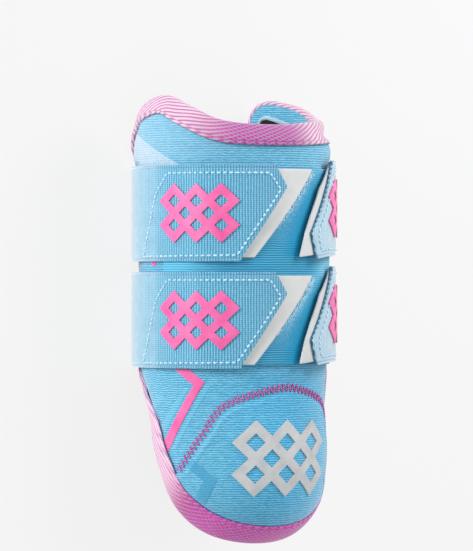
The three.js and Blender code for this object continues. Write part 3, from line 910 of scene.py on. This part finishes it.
# From the tape's inner edge on the face, over the rim, to its edge inside: (inset, lift)
TAPE_SECTION = [
    (8.75, -0.2), (8.72, 0.5), (8.4, 0.84), (7.9, 0.86), (7.4, 0.45), (6.9, 0.8), (5.4, 0.6), (3.6, 0.05),
    (1.8, -0.65), (0.3, -1.4), (-0.75, -2.2), (-1.3, -3.1), (-1.45, -4.0), (-1.3, -4.9), (-0.8, -5.75),
    (-0.2, -6.25), (0.3, -6.2),
]

# Share of its usual width that the tape's face has at each rise of the rim
TAPE_WIDTH = [
    (-147, 0.86), (-141, 0.98), (-134, 1.08), (-120, 1.2), (-90, 1.28), (-84, 1.1), (-79, 0.7), (-75, 0.35),
    (-71, 0.12), (-64, 0.06), (-58, 0.1), (62, 0.1), (70, 0.15), (73, 0.6), (74.4, 1.0), (76, 1.08),
    (90, 1.0),
]

# Its share again over the turn, where it narrows round the left peak
PEAK_WIDTH = [(-108, 0.35), (-99, 0.55), (-86, 0.74), (-72, 0.86), (-58, 1.0)]


def tape_share(along):
    turn, rise = rim_places(along, np.zeros(len(along))).T
    share = np.interp(rise, *np.array(TAPE_WIDTH).T)
    peak = np.interp(turn, *np.array(PEAK_WIDTH).T)
    return np.where(rise > 72, share * peak, share)


def rim_bevel(inset):
    """Lift of the shell's face near its edge, where it is bevelled under the tape."""
    return -RIM_TUCK * (1 - np.clip(inset / TAPE_FACE, 0, 1))


RIPPLE = 0.1


def rim_band(name, section, columns, rows, wide, sunk=0.0):
    """A band swept round the rim through a section of (inset from the shell's edge, lift).

    It sinks, as far as sunk says, where the tape is narrow.
    """
    piece = cut_cloth(name, (0, 1), (0, 1), columns, rows)
    share = corners(piece)
    line, length, _ = curve_through(section, False)
    across = share[:, 1] * length[-1]
    inset = np.interp(across, length, line[:, 0])
    lift = np.interp(across, length, line[:, 1])
    along = share[:, 0] * RIM_LENGTH
    lap = share[:, 0] % 1 * 2 * math.pi
    ripple = RIPPLE * np.sin(44 * lap + 2 * np.sin(6 * lap)) * np.sin(3 * lap) ** 2
    reach = np.where(inset > 0, inset * tape_share(along), inset) if wide else inset
    lift = lift + rim_bevel(reach) - rim_bevel(inset)
    lift = lift - sunk * smooth((0.4 - tape_share(along)) / 0.25)
    flat = rim_places(along, reach + TAPE_FOLD)
    keep_pattern(piece, np.column_stack([along, across, across]))
    move_corners(piece, wrap(np.column_stack([flat, lift + ripple * smooth(inset / 3)])))
    work(piece, bpy.ops.mesh.remove_doubles, threshold=SAME_PLACE)
    return piece


def tube(inset, lift, radius, sides):
    """Round section about a place, taken so that its faces point outwards."""
    angles = np.linspace(2 * math.pi, 0, sides + 1)
    return [(inset + radius * math.cos(angle), lift + radius * math.sin(angle)) for angle in angles]


def make_tape():
    piece = rim_band("edge_tape", TAPE_SECTION, columns=560, rows=44, wide=True)
    thicken(piece, TAPE_THICK * MM, 0)
    return dress(piece, TAPE, "edge_binding")


SEAM_SUNK = 1.2


def make_tape_seam():
    """Dark seam thread in the groove along the tape's inner edge; its darkness also paints the groove's
    shade.
    """
    section = tube(TAPE_FACE + 0.4, 0.55, 0.35, 8)
    piece = rim_band("tape_seam", section, columns=560, rows=8, wide=True, sunk=SEAM_SUNK)
    return dress(piece, SEAM_THREAD_AND_SHADE)


STRIP_THICK = 0.3
FACING_SECTION = [
    (-0.9, -5.3), (-0.2, -6.0), (0.8, -6.6), (2.5, -7.3), (5, -8.2), (7.6, -8.8), (8.6, -8.9),
]


def make_facing():
    """Strip of body cloth on the inside, between the tape and the piping."""
    piece = rim_band("inner_facing", FACING_SECTION, columns=420, rows=12, wide=False)
    thicken(piece, STRIP_THICK * MM, 0)
    return dress(piece, KNIT)


def make_pad_piping():
    section = tube(PAD_INSET - 0.6, PAD_LIFT - 0.5, 1.1, 10)
    piece = rim_band("pad_piping", section, columns=420, rows=14, wide=False)
    return dress(piece, PALE_FILM)


PAD_EDGE_SECTION = [(7.8, -8.9), (8.6, -9.6), (10, -9.9), (12, -9.9), (14, -9.4)]


def make_pad_edge():
    """Strip of lining that finishes the pad up to its piping."""
    piece = rim_band("pad_edge", PAD_EDGE_SECTION, columns=420, rows=10, wide=False)
    thicken(piece, STRIP_THICK * MM, 0)
    return dress(piece, LINING)


# Panels, films and stripes laid on the shell

def make_loop_panel():
    piece = cut_cloth("loop_panel_cloth", LOOP_TURN, (-LOOP_TOP, LOOP_TOP), 90, 60)
    keep_pattern(piece, corners(piece))
    thicken(piece, LOOP_THICK, 0.3)
    flat = corners(piece)
    flat[:, 2] += STRAP_GAP + SHEET_THICK
    move_corners(piece, wrap(flat))
    return dress(piece, LOOP, "loop_panel")


def panel_edges(share):
    """Lower edge of the elbow panel along the tape, and its upper edge along the seam."""
    first, last = RUN[PANEL_CORNER], RUN[2 * LOWER_MIDDLE - PANEL_CORNER]
    along = first + (last - first) * share
    low = rim_places(along, (TAPE_FACE - 0.7) * tape_share(along) + TAPE_FOLD)
    line, length, _ = SEAM
    high, _ = along_curve(line, length, share * length[-1])
    return low, high


# The elbow panel lies low at its edge and rises to its crown, with a rib beside the seam's slopes
PANEL_EDGE = 0.45
CROWN_FROM_SEAM = 6.0
CROWN_FROM_TAPE = 5.0
PANEL_RIB = 0.45
PANEL_RIB_AT = (5.6, 0.9)
PANEL_RIB_TURN = (22.0, 32.0)


def make_elbow_panel():
    piece = cut_cloth("elbow_panel_cloth", (0, 1), (0, 1), 120, 70)
    share = corners(piece)
    low, high = panel_edges(share[:, 0])
    flat = low + (high - low) * share[:, 1:2]
    height = np.linalg.norm(high - low, axis=1)
    from_seam = distance_from(SEAM[0], flat)
    from_tape = share[:, 1] * height
    crown = smooth(from_seam / CROWN_FROM_SEAM) * smooth(from_tape / CROWN_FROM_TAPE)
    at, width = PANEL_RIB_AT
    rib = np.exp(-((from_seam - at) / width) ** 2) * ease(np.abs(flat[:, 0]), *PANEL_RIB_TURN)
    lift = PANEL_EDGE + (PANEL_TOP - PANEL_EDGE) * crown + PANEL_RIB * rib
    flat = np.column_stack([flat, lift])
    keep_pattern(piece, flat)
    move_corners(piece, flat)
    thicken(piece, PANEL_THICK, 0.12)
    flat = corners(piece)
    move_corners(piece, wrap(flat))
    return dress(piece, KNIT, "elbow_panel")


STRIPE_SUNK = 0.15


def lay_stripe(name, rows, thick, rounding, carrier, steps=10):
    """A bent stripe through rows of (near edge, far edge), seated on what carries it."""
    rows = np.array(rows, float)
    spans = len(rows) - 1
    piece = cut_cloth(name, (0, spans), (0, 1), steps * spans, 4)
    share = corners(piece)
    span = np.minimum(share[:, 0].astype(int), spans - 1)
    t = (share[:, 0] - span)[:, None]
    near, far = ((rows[span, i] * (1 - t) + rows[span + 1, i] * t) for i in (0, 1))
    flat = np.column_stack([near + (far - near) * share[:, 1:2], np.zeros(len(share))])
    move_corners(piece, flat)
    work(piece, bpy.ops.mesh.normals_make_consistent, inside=False)
    if piece.data.polygons[0].normal.z < 0:
        piece.data.flip_normals()
    keep_pattern(piece, flat)
    thicken(piece, thick, rounding)
    flat = corners(piece)
    flat[:, 2] += thick + seat(flat, [carrier]) - STRIPE_SUNK
    move_corners(piece, wrap(flat))
    return piece


STRIPE_THICK = 0.5
FILM_THICK = 0.3

# Stripes and films on the right, which the left side mirrors
STRIPE = [((54.5, -54), (63.3, -54)), ((45.1, -60.8), (51.3, -62.6)), ((66.7, -98.2), (69.8, -92.9))]
DARK_CHEVRON = [
    ((50.3, -101.3), (56, -104.1)), ((36.8, -112.2), (44.5, -112.8)), ((41.8, -125.6), (48.3, -121.9)),
]
STRIPE_FILM = [((43.9, -61.9), (41.6, -62.6)), ((63.4, -95.4), (61.4, -96.6))]
OUTER_FILM = [((52.6, -63.1), (56.6, -64.3)), ((69, -88.4), (71.8, -84.3))]
SEAM_FILM = [
    ((54.4, -107.5), (53.3, -108.3)), ((45.9, -94.9), (44.8, -95.7)), ((40, -86.8), (38.9, -87.6)),
    ((35.7, -79.4), (34.5, -79.9)),
]

# Two that only the left wing has
PALE_CORNER = [((-60, 53.8), (-60.6, 53.2)), ((-92.3, 69.5), (-92.3, 53.2)), ((-103, 71), (-110, 53.2))]
TINY_TIP = [((-81.3, 2.6), (-75.9, 2.6)), ((-79, 0.3), (-78, 0.3))]


def mirrored_rows(rows):
    return [tuple(mirrored(row)) for row in rows]


SIDES = [("left", mirrored_rows), ("right", list)]


def make_stripes(shell, panel):
    for side, hand in SIDES:
        piece = lay_stripe(f"{side}_pink_chevron", hand(STRIPE), STRIPE_THICK, 0.15, shell)
        dress(piece, PINK, f"{side}_chevron")
    for side, hand in SIDES:
        piece = lay_stripe(f"{side}_tonal_chevron", hand(DARK_CHEVRON), FILM_THICK, 0.1, panel)
        dress(piece, DARK_FILM)
    for side, hand in SIDES:
        for kind, rows, carrier in (
                ("stripe", STRIPE_FILM, shell), ("outer", OUTER_FILM, shell), ("seam", SEAM_FILM, panel)):
            piece = lay_stripe(f"{side}_{kind}_film", hand(rows), FILM_THICK, 0.12, carrier)
            dress(piece, CLEAR_FILM)
    corner = lay_stripe("pale_corner_film", PALE_CORNER, FILM_THICK, 0.1, shell)
    dress(corner, PALE_FILM)
    tip = lay_stripe("pink_tip", TINY_TIP, STRIPE_THICK, 0.15, shell, steps=4)
    dress(tip, PINK)


# Straps with ribs, selvages and pointed ends

RIB_HEIGHT = 0.15
GROOVE = 0.35
HOOK_PROUD = 0.75
HOOK_END = 62.0

# Rises at which the strap's grid has rows, from its edge to near its middle
STRAP_ROWS = [25.4, 25.15, 24.75, 24.4, 24.1, 23.85, 23.5, 22.9, 21, 17, 11.5, 5.5]


def strap_relief(run, rise):
    edge = HALF - np.abs(rise)
    ribbed = smooth((edge - SELVAGE - 0.1) / 0.7)
    ribs = RIB_HEIGHT * np.cos(2 * math.pi * run / RIB_PITCH)
    roll = RIB_HEIGHT * np.sin(math.pi * np.clip(edge / SELVAGE, 0, 1))
    groove = GROOVE * np.exp(-((edge - SELVAGE) / 0.3) ** 2)
    return ribbed * ribs + (1 - ribbed) * roll - groove - RIB_HEIGHT


def make_strap(level, middle):
    ends = (RIGHT_END[1][0], LEFT_END[1][0] + STRAP_GIRTH)
    rises = np.array([-r for r in STRAP_ROWS] + [0] + STRAP_ROWS[::-1])
    columns = int((ends[1] - ends[0]) / RIB_PITCH * 4)
    piece = cut_cloth(f"{level}_elastic_strap", ends, (-HALF, HALF), columns, len(rises) - 1)
    flat = corners(piece)
    row = np.rint((flat[:, 1] + HALF) / STRAP_WIDTH * (len(rises) - 1)).astype(int)
    flat[:, 1] = rises[row]
    move_corners(piece, flat)
    back = STRAP_GIRTH / 2
    for end, shift in ((RIGHT_END, 0), (LEFT_END, STRAP_GIRTH)):
        trim_along(piece, [(turn + shift, rise) for turn, rise in end], (back, 0))
    flat = corners(piece)
    keep_pattern(piece, flat)
    flat[:, 2] = strap_relief(flat[:, 0], flat[:, 1])
    move_corners(piece, flat)
    thicken(piece, STRAP_THICK - 2 * RIB_HEIGHT, 0.25, sliver=0)
    flat = corners(piece)
    turn = signed_turn(flat[:, 0])
    flat[:, 2] += strap_bed(turn) + STRAP_THICK + stand_off(turn)
    flat[:, 1] += middle + strap_slant(turn)
    move_corners(piece, wrap_strap(flat))
    return dress(piece, ELASTIC, f"{level}_strap")


def make_hook_backing(level, middle):
    """Hook tape under the right-hand end, just proud of the strap's edge, where its darkness paints that
    edge's shadow.
    """
    piece = cut_cloth(f"{level}_hook_backing_and_edge_shade", (RIGHT_END[1][0] - 1, HOOK_END), (-HALF, HALF), 48, 24)
    trim_along(piece, [(turn - HOOK_PROUD, rise) for turn, rise in RIGHT_END], (HOOK_END - 2, 0))
    keep_pattern(piece, corners(piece))
    thicken(piece, HOOK_THICK, 0.1)
    flat = corners(piece)
    flat[:, 2] += strap_bed(flat[:, 0]) + stand_off(flat[:, 0]) + 0.1
    flat[:, 1] += middle + strap_slant(flat[:, 0])
    move_corners(piece, wrap_strap(flat))
    return dress(piece, HOOK_AND_EDGE_SHADE)


# Share of the strap end's spring that the tab under it takes up
TAB_SPRING = 0.9


def make_tab(level, side, middle):
    edge, hidden = (LEFT_TAB, TAB_TURN[0]) if side == "left" else (RIGHT_TAB, TAB_TURN[1])
    turns = sorted((edge[0][0], hidden))
    piece = cut_cloth(f"{level}_{side}_film_tab", turns, (-TAB_HALF, TAB_HALF), 36, 24)
    trim_along(piece, edge, (hidden, edge[0][1]))
    keep_pattern(piece, corners(piece))
    thicken(piece, SHEET_THICK, 0.3)
    flat = corners(piece)
    flat[:, 2] += 2 * (STRAP_GAP + SHEET_THICK)
    flat[:, 1] += middle
    if side == "right":
        flat[:, 2] += TAB_SPRING * stand_off(flat[:, 0])
        flat[:, 1] += strap_slant(flat[:, 0])
    move_corners(piece, wrap(flat))
    return dress(piece, FILM, f"{level}_{side}_tab")


PATCH_ROUNDING = 0.28


def make_patch(node, material, sink, springs):
    """A lattice patch: the moulded form with rounded edges, pressed down on its cloth."""
    piece = copy_node(node, f"{node}_rubber")
    work(piece, bpy.ops.mesh.dissolve_limited, angle_limit=math.radians(1))
    round_edges(piece, PATCH_ROUNDING * MM, 40)
    apply_modifiers(piece)
    flat = unwrap(corners(piece))
    if springs:
        flat[:, 2] += stand_off(flat[:, 0])
        flat[:, 1] += strap_slant(flat[:, 0])
    flat[:, 2] -= sink
    move_corners(piece, wrap(flat))
    dress(piece, material, node)
    bpy.ops.object.shade_smooth_by_angle(angle=math.radians(35))
    return piece


# Stitching

STITCH_BLUNT = 0.8


def sew(name, stitches, thick, bow, material, place):
    """Rounded stitches between pairs of flat places, each bowed up in its middle, as one piece."""
    bpy.ops.object.select_all(action="DESELECT")
    bpy.ops.mesh.primitive_uv_sphere_add(segments=8, ring_count=7, radius=0.5)
    bead = bpy.context.object
    shape = corners(bead)
    faces = [tuple(face.vertices) for face in bead.data.polygons]
    bpy.data.objects.remove(bead)
    stitches = np.array(stitches, float)
    start, end = stitches[:, 0], stitches[:, 1]
    along = end - start
    length = np.linalg.norm(along[:, :2], axis=1)[:, None]
    across = np.stack([-along[:, 1], along[:, 0]], axis=-1) / length * thick
    t = np.sign(shape[:, 2]) * np.abs(2 * shape[:, 2]) ** STITCH_BLUNT / 2
    middle = (start + end) / 2
    flat = middle[:, None] + along[:, None] * t[None, :, None]
    flat[:, :, :2] += across[:, None] * shape[None, :, :1]
    flat[:, :, 2] += thick * shape[None, :, 1] + bow * (1 - 4 * t[None] ** 2)
    mesh = bpy.data.meshes.new(name)
    firsts = range(0, len(shape) * len(stitches), len(shape))
    joined = [tuple(first + corner for corner in face) for first in firsts for face in faces]
    mesh.from_pydata(place(flat.reshape(-1, 3)), [], joined)
    piece = add(name, mesh)
    work(piece, bpy.ops.mesh.normals_make_consistent, inside=False)
    return dress(piece, material)


STITCH_PITCH = 2.95
STITCH_LENGTH = 2.0
STITCH_SUNK = 0.12
LEFT_STITCHING = [
    (-86, -22.9), (-28.5, -22.2), (-6.2, 12.4), (-12, 21.1), (-65.3, 21.1), (-73.5, 10), (-86, -22.9),
]
RIGHT_STITCHING = [(78, 22.4), (35.6, 21.6), (15.8, -12.2), (18.3, -21.6), (78, -22.4)]


def stitch_rows(corners_of_row, middle, springs):
    """Even stitches along straight rows, as pairs of places on a strap."""
    stitches = []
    for start, end in zip(corners_of_row, corners_of_row[1:]):
        start, end = np.array(start, float), np.array(end, float)
        length = np.linalg.norm(end - start)
        count = max(1, round(length / STITCH_PITCH))
        for i in range(count):
            ends = [start + (end - start) * (i + 0.5 + side * STITCH_LENGTH / STITCH_PITCH / 2) / count
                    for side in (-1, 1)]
            turns = np.array([place[0] for place in ends])
            lifts = strap_bed(turns) + STRAP_THICK - STITCH_SUNK + (stand_off(turns) if springs else 0)
            rises = np.array([place[1] for place in ends]) + middle + (strap_slant(turns) if springs else 0)
            stitches.append([(turn % STRAP_GIRTH, rise, lift)
                             for turn, rise, lift in zip(turns, rises, lifts)])
    return stitches


def make_strap_stitching(level, middle):
    stitches = stitch_rows(LEFT_STITCHING, middle, False) + stitch_rows(RIGHT_STITCHING, middle, True)
    return sew(f"{level}_strap_stitches", stitches, thick=1.05, bow=0.25, material=BLUE_THREAD,
               place=wrap_strap)


ZIGZAG_PITCH = 2.9
ZIGZAG_WIDTH = 5.0
ZIGZAG_LINE = [
    (-59.8, -108.9), (-55, -101.9), (-48.9, -92.9), (-43, -84.9), (-38.9, -77.6), (-33, -72.8), (-26, -69.7),
    (-18, -67.2), (-7.3, -64.6), (0, -63.8),
]


def make_zigzag(carriers):
    """Pink zigzag over the seam between the shell and the elbow panel."""
    line, length, _ = curve_through(both_sides(ZIGZAG_LINE), False)
    count = int(length[-1] / ZIGZAG_PITCH * 2)
    place, heading = along_curve(line, length, np.linspace(1, length[-1] - 1, count + 1))
    normal = np.stack([-heading[:, 1], heading[:, 0]], axis=-1)
    swing = np.where(np.arange(count + 1) % 2 == 0, 0.5, -0.5)[:, None] * ZIGZAG_WIDTH
    places = place + normal * swing
    places = np.column_stack([places, seat(places, carriers) + 0.1])
    stitches = np.stack([places[:-1], places[1:]], axis=1)
    return sew("seam_zigzag", stitches, thick=0.75, bow=0.35, material=PINK_THREAD,
               place=wrap)


# Pulled loops: where they start and end along the tab's edge, and how far from it they lie
FUZZ_COUNT = 190
FUZZ_ALONG = (0.04, 0.66)
FUZZ_OUT = (0.6, 4.2)


def make_fuzz(level, middle):
    """Pulled loops that stand up along the edge of the left tab."""
    chance = np.random.default_rng(11 if level == "upper" else 23)
    share = chance.random(FUZZ_COUNT) ** 1.5
    top, low = np.array(LEFT_TAB[0]), np.array(LEFT_TAB[1])
    start, end = FUZZ_ALONG
    place = top + (low - top) * (start + (end - start) * share)[:, None]
    place[:, 0] += FUZZ_OUT[0] + chance.random(FUZZ_COUNT) * FUZZ_OUT[1] * (1.1 - share)
    place[:, 1] += middle
    turned = chance.random(FUZZ_COUNT) * math.pi
    half = np.stack([np.cos(turned), np.sin(turned)], axis=-1) * (0.3 + 0.35 * chance.random((FUZZ_COUNT, 1)))
    lift = STRAP_GAP + SHEET_THICK + 0.15 + 0.3 * chance.random((FUZZ_COUNT, 2))
    ends = [np.column_stack([place + side * half, lift[:, i]]) for i, side in enumerate((-1, 1))]
    return sew(f"{level}_loop_fuzz", np.stack(ends, axis=1), thick=0.38, bow=0.15, material=BLUE_THREAD,
               place=wrap)


# The guard

shell = make_shell()
make_inner_pad()
make_tape()
make_tape_seam()
make_facing()
make_pad_piping()
make_pad_edge()
make_loop_panel()
panel = make_elbow_panel()
make_stripes(shell, panel)
for level, middle in (("upper", STRAP_RISE), ("lower", -STRAP_RISE)):
    make_strap(level, middle)
    make_hook_backing(level, middle)
    make_strap_stitching(level, middle)
    make_fuzz(level, middle)
    for side in ("left", "right"):
        make_tab(level, side, middle)
        make_patch(f"{level}_{side}_patch", PINK, sink=0.3, springs=side == "right")
make_patch("elbow_patch", GREY, sink=0.25, springs=False)
make_zigzag([shell, panel])


# Floor, camera and lights

FLOOR_SIZE = 12.0
FLOOR_DROP = 0.0004
FLOOR_GLOW = 0.828
WORLD_GLOW = 0.4
CAMERA_TURN = math.radians(35)
CAMERA_REACH = 2400.0
CAMERA_LENS = 292.0
SENSOR = 36.0
AIM_RIGHT = 2.95
AIM_RISE = -4.7
RIGHT = Vector((math.cos(CAMERA_TURN), 0, math.sin(CAMERA_TURN)))
TOWARDS = Vector((-math.sin(CAMERA_TURN), 0, math.cos(CAMERA_TURN)))
UP = Vector((0, 1, 0))


def make_floor():
    bpy.ops.object.select_all(action="DESELECT")
    bpy.ops.mesh.primitive_plane_add(size=FLOOR_SIZE, location=(0, 0, -FLOOR_DROP))
    floor = bpy.context.object
    floor.name = "studio_floor"
    f = Finish("pale_floor", 0.9, specular=0.1)
    f.shader.inputs["Base Color"].default_value = (0.08, 0.08, 0.08, 1)
    f.shader.inputs["Emission Color"].default_value = (1, 1, 1, 1)
    f.shader.inputs["Emission Strength"].default_value = FLOOR_GLOW
    floor.data.materials.append(f.material)


def make_camera():
    data = bpy.data.cameras.new("photo_camera")
    data.lens = CAMERA_LENS
    data.sensor_width = SENSOR
    data.sensor_fit = "AUTO"
    data.clip_end = 20
    camera = add("photo_camera", data)
    aim = (Vector(AXIS) + RIGHT * AIM_RIGHT + UP * AIM_RISE) * MM
    turn = Matrix((RIGHT, UP, TOWARDS)).transposed().to_4x4()
    camera.matrix_world = Matrix.Translation(aim + TOWARDS * CAMERA_REACH * MM) @ turn
    bpy.context.scene.camera = camera


def make_light(name, way, distance, size, watts):
    data = bpy.data.lights.new(name, "AREA")
    data.shape = "DISK"
    data.size = size
    data.energy = watts
    light = add(name, data)
    way = way.normalized()
    target = Vector(AXIS) * MM
    light.matrix_world = (Matrix.Translation(target + way * distance)
                          @ way.to_track_quat("Z", "Y").to_matrix().to_4x4())


make_floor()
make_camera()
make_light("left_key", TOWARDS * 0.66 - RIGHT * 0.88 + UP * 0.4, distance=1.0, size=0.5, watts=12)
make_light("right_rim", RIGHT * 0.85 + TOWARDS * 0.25 + UP * 0.6, distance=0.65, size=0.35, watts=2.8)
make_light("right_fill", RIGHT * 0.9 + TOWARDS * 0.3, distance=0.8, size=0.4, watts=1.2)
make_light("front_fill", TOWARDS * 0.8 - UP * 0.4 + RIGHT * 0.1, distance=1.4, size=1.2, watts=3.6)
world = bpy.data.worlds.new("studio")
world.use_nodes = True
world.node_tree.nodes["Background"].inputs["Color"].default_value = (1, 1, 1, 1)
world.node_tree.nodes["Background"].inputs["Strength"].default_value = WORLD_GLOW
bpy.context.scene.world = world
bpy.context.scene.view_settings.view_transform = "Standard"
